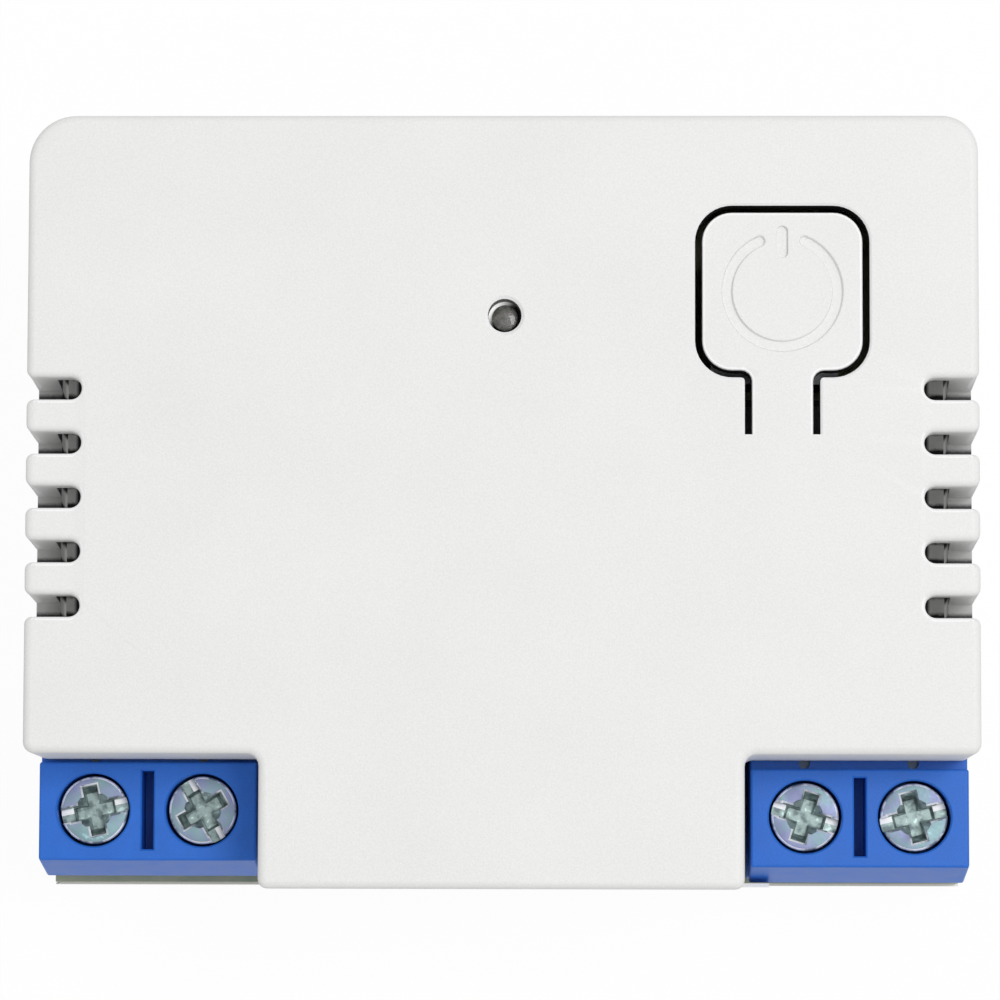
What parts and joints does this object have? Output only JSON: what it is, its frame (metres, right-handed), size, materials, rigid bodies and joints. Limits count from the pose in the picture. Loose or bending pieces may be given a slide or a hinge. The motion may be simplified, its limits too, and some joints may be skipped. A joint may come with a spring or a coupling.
{
  "type": "smart relay module",
  "caption": "Small in-wall relay module: vented snap-together case, blue screw terminal blocks in corner notches, sprung push tongue with power mark, indicator, relay and radio.",
  "frame": {"origin": "centre of the case's rear face, where the module rests when it lies on its back", "axes": "+X to the right seen from the front, along the terminal edge; +Y from the terminal edge to the plain edge; +Z out of the front face"},
  "size_m": [0.043, 0.035, 0.018],
  "materials": {
    "white_plastic": "fine spark-eroded texture",
    "clear_plastic": "smoky clear",
    "board_laminate": "solder mask over glass laminate",
    "blue_plastic": "moulded, slightly glossy",
    "zinc_steel": "zinc plated",
    "brass_cage": "plain",
    "black_plastic": "moulded",
    "sheet_steel": "tin plated sheet",
    "led_package": "moulded",
    "relay_plastic": "moulded",
    "bobbin_plastic": "moulded",
    "copper": "enamelled copper",
    "soft_iron": "nickel plated",
    "contact_brass": "rolled",
    "tinned_pins": "tinned",
    "capacitor_sleeve": "shrunk sleeve",
    "varistor_coat": "dipped coating",
    "ceramic": "fired ceramic with plated caps",
    "resistor_lacquer": "lacquered",
    "ferrite": "ground ferrite",
    "winding_tape": "polyester tape",
    "antenna_jacket": "extruded jacket",
    "chip_ceramic": "fired ceramic"
  },
  "bodies": {
    "housing": {"front_cover": "white_plastic", "rear_cover": "white_plastic", "light_guide": "clear_plastic", "circuit_board": "board_laminate", "left_terminal_block": "blue_plastic", "right_terminal_block": "blue_plastic", "terminal_cage_1": "brass_cage", "terminal_cage_2": "brass_cage", "terminal_cage_3": "brass_cage", "terminal_cage_4": "brass_cage", "switch_base": "black_plastic", "switch_frame": "sheet_steel", "switch_dome": "sheet_steel", "indicator_led": "led_package", "relay_base": "black_plastic", "relay_case": "relay_plastic", "relay_bobbin": "bobbin_plastic", "relay_winding": "copper", "relay_core": "soft_iron", "relay_yoke": "soft_iron", "relay_fixed_contact": "contact_brass", "relay_pins": "tinned_pins", "bulk_capacitor": "capacitor_sleeve", "output_capacitor": "capacitor_sleeve", "varistor": "varistor_coat", "safety_fuse": "ceramic", "fusible_resistor": "resistor_lacquer", "bridge_rectifier": "black_plastic", "converter_chip": "black_plastic", "current_shunt": "copper", "transformer_core": "ferrite", "transformer_bobbin": "black_plastic", "transformer_winding": "winding_tape", "transformer_pins": "tinned_pins", "radio_board": "board_laminate", "radio_shield": "sheet_steel", "antenna_wire": "antenna_jacket", "surface_parts": "chip_ceramic"},
    "button": {"button_tongue": "white_plastic"},
    "plunger": {"switch_plunger": "black_plastic"},
    "armature": {"relay_armature": "soft_iron", "relay_contact_spring": "contact_brass"},
    "clamp_1": {"clamp_plate_1": "zinc_steel"},
    "screw_1": {"terminal_screw_1": "zinc_steel"},
    "clamp_2": {"clamp_plate_2": "zinc_steel"},
    "screw_2": {"terminal_screw_2": "zinc_steel"},
    "clamp_3": {"clamp_plate_3": "zinc_steel"},
    "screw_3": {"terminal_screw_3": "zinc_steel"},
    "clamp_4": {"clamp_plate_4": "zinc_steel"},
    "screw_4": {"terminal_screw_4": "zinc_steel"}
  },
  "joints": [
    {"name": "button_press", "type": "hinge", "parent": "housing", "child": "button", "pos_m": [0.01263, 0.00294, 0.0168], "axis": [-1, 0, 0], "range_deg": [0, 2.21], "stiffness_Nm_per_rad": 0.15},
    {"name": "plunger_slide", "type": "slide", "parent": "housing", "child": "plunger", "axis": [0, 0, -1], "range_m": [0, 0.00025], "deforming": ["switch_dome"]},
    {"name": "armature_rock", "type": "hinge", "parent": "housing", "child": "armature", "pos_m": [-0.01355, -0.0076, 0.01403], "axis": [-1, 0, 0], "range_deg": [0, 1.8], "stiffness_Nm_per_rad": 0.05},
    {"name": "clamp_slide_1", "type": "slide", "parent": "housing", "child": "clamp_1", "axis": [0, 0, -1], "range_m": [0, 0.0012]},
    {"name": "screw_turn_1", "type": "hinge", "parent": "clamp_1", "child": "screw_1", "pos_m": [-0.01885, -0.0138, 0.0104], "axis": [0, 0, -1], "range_deg": [0, 864.1]},
    {"name": "clamp_slide_2", "type": "slide", "parent": "housing", "child": "clamp_2", "axis": [0, 0, -1], "range_m": [0, 0.0012]},
    {"name": "screw_turn_2", "type": "hinge", "parent": "clamp_2", "child": "screw_2", "pos_m": [-0.01385, -0.0138, 0.0104], "axis": [0, 0, -1], "range_deg": [0, 864.1]},
    {"name": "clamp_slide_3", "type": "slide", "parent": "housing", "child": "clamp_3", "axis": [0, 0, -1], "range_m": [0, 0.0012]},
    {"name": "screw_turn_3", "type": "hinge", "parent": "clamp_3", "child": "screw_3", "pos_m": [0.01385, -0.01405, 0.0104], "axis": [0, 0, -1], "range_deg": [0, 864.1]},
    {"name": "clamp_slide_4", "type": "slide", "parent": "housing", "child": "clamp_4", "axis": [0, 0, -1], "range_m": [0, 0.0012]},
    {"name": "screw_turn_4", "type": "hinge", "parent": "clamp_4", "child": "screw_4", "pos_m": [0.01885, -0.01405, 0.0104], "axis": [0, 0, -1], "range_deg": [0, 864.1]}
  ],
  "couplings": [
    {"joint": "button_press", "follows": "plunger_slide", "rad_per_m": 153.85},
    {"joint": "screw_turn_1", "follows": "clamp_slide_1", "rad_per_m": 12566},
    {"joint": "screw_turn_2", "follows": "clamp_slide_2", "rad_per_m": 12566},
    {"joint": "screw_turn_3", "follows": "clamp_slide_3", "rad_per_m": 12566},
    {"joint": "screw_turn_4", "follows": "clamp_slide_4", "rad_per_m": 12566}
  ]
}
